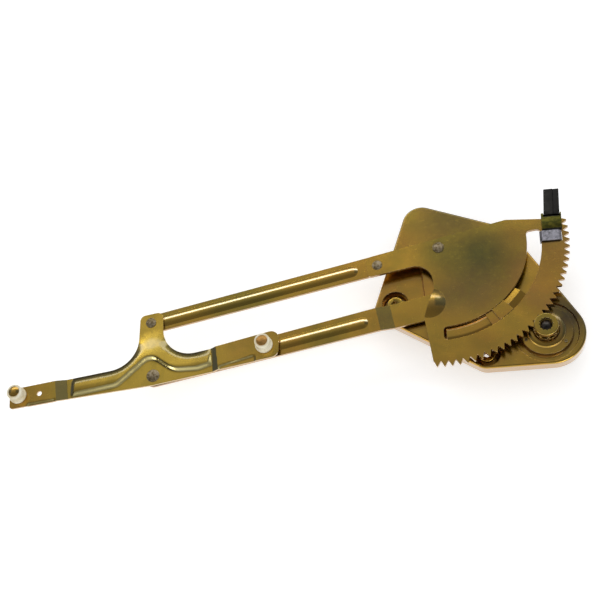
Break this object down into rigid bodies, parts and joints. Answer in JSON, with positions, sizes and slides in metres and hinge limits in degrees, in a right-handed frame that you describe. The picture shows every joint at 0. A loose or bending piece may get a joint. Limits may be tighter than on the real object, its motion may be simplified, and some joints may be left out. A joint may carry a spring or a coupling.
{
  "type": "window regulator",
  "caption": "Hand-cranked window regulator: toothed sector and parallel arms carry a lift bracket with rollers, driven by a pinion with a spring brake on a stamped plate.",
  "frame": {"origin": "on the crank spindle's axis, in the plane where the plate's dimples bolt to the door panel", "axes": "+Z away from the door panel along the spindle, +X along the arms towards the pinion, +Y upwards as the glass rises"},
  "size_m": [0.5632, 0.1936, 0.0641],
  "materials": {
    "plate_zinc": "yellow zinc plate, iridescent",
    "sector_zinc": "yellow zinc plate, iridescent",
    "arm_zinc": "yellow zinc plate, iridescent",
    "bracket_zinc": "yellow zinc plate, iridescent",
    "pin_zinc": "gold zinc plate",
    "rivet_steel": "dull zinc",
    "gear_steel": "oiled steel",
    "spring_steel": "oiled steel",
    "clip_steel": "bright zinc",
    "guide_zinc": "yellow zinc plate, iridescent",
    "roller_nylon": "natural nylon",
    "bush_bronze": "sintered bronze",
    "bumper_rubber": "black rubber"
  },
  "bodies": {
    "root": {"mounting_plate": "plate_zinc", "left_weld_nut": "gear_steel", "lower_weld_nut": "gear_steel", "upper_weld_nut": "gear_steel", "sector_guide": "guide_zinc", "guide_rivets": "rivet_steel", "pivot_spacer": "rivet_steel", "sector_pivot_stud": "rivet_steel", "lower_pivot_stud": "rivet_steel", "brake_drum": "plate_zinc", "drum_rivets": "rivet_steel", "spindle_bush": "bush_bronze"},
    "sector": {"sector_gear": "sector_zinc", "upper_arm": "arm_zinc", "arm_rivet": "rivet_steel", "upper_link_rivet": "rivet_steel", "upper_link_washer": "rivet_steel", "stop_bumper": "bumper_rubber", "bumper_clip": "clip_steel"},
    "lower_arm": {"lower_arm": "arm_zinc"},
    "bracket": {"lift_bracket": "bracket_zinc", "front_roller_pin": "pin_zinc", "rear_roller_pin": "pin_zinc", "lower_link_rivet": "rivet_steel", "lower_link_washer": "rivet_steel"},
    "pinion": {"pinion": "gear_steel", "crank_spindle": "gear_steel", "brake_core": "gear_steel", "brake_spring": "spring_steel"},
    "front_roller": {"front_roller": "roller_nylon"},
    "rear_roller": {"rear_roller": "roller_nylon"}
  },
  "joints": [
    {"name": "sector_pivot", "type": "hinge", "parent": "root", "child": "sector", "pos_m": [-0.09615, 0.09315, 0], "axis": [0, 0, 1], "range_deg": [-32, 26]},
    {"name": "lower_arm_pivot", "type": "hinge", "parent": "root", "child": "lower_arm", "pos_m": [-0.09115, 0.03565, 0], "axis": [0, 0, 1], "range_deg": [-32, 26]},
    {"name": "bracket_pivot", "type": "hinge", "parent": "sector", "child": "bracket", "pos_m": [-0.38515, 0.03715, 0], "axis": [0, 0, 1], "range_deg": [-26, 32]},
    {"name": "pinion_spin", "type": "hinge", "parent": "root", "child": "pinion", "pos_m": [0, 0, 0], "axis": [0, 0, 1], "range_deg": [-320, 393]},
    {"name": "front_roller_spin", "type": "hinge", "parent": "bracket", "child": "front_roller", "pos_m": [-0.51715, -0.03215, 0], "axis": [0, 0, 1], "continuous": true},
    {"name": "rear_roller_spin", "type": "hinge", "parent": "bracket", "child": "rear_roller", "pos_m": [-0.26865, 0.00185, 0], "axis": [0, 0, 1], "continuous": true}
  ],
  "couplings": [
    {"joint": "lower_arm_pivot", "follows": "sector_pivot", "ratio": 1},
    {"joint": "bracket_pivot", "follows": "sector_pivot", "ratio": -1},
    {"joint": "pinion_spin", "follows": "sector_pivot", "ratio": -12.222}
  ]
}
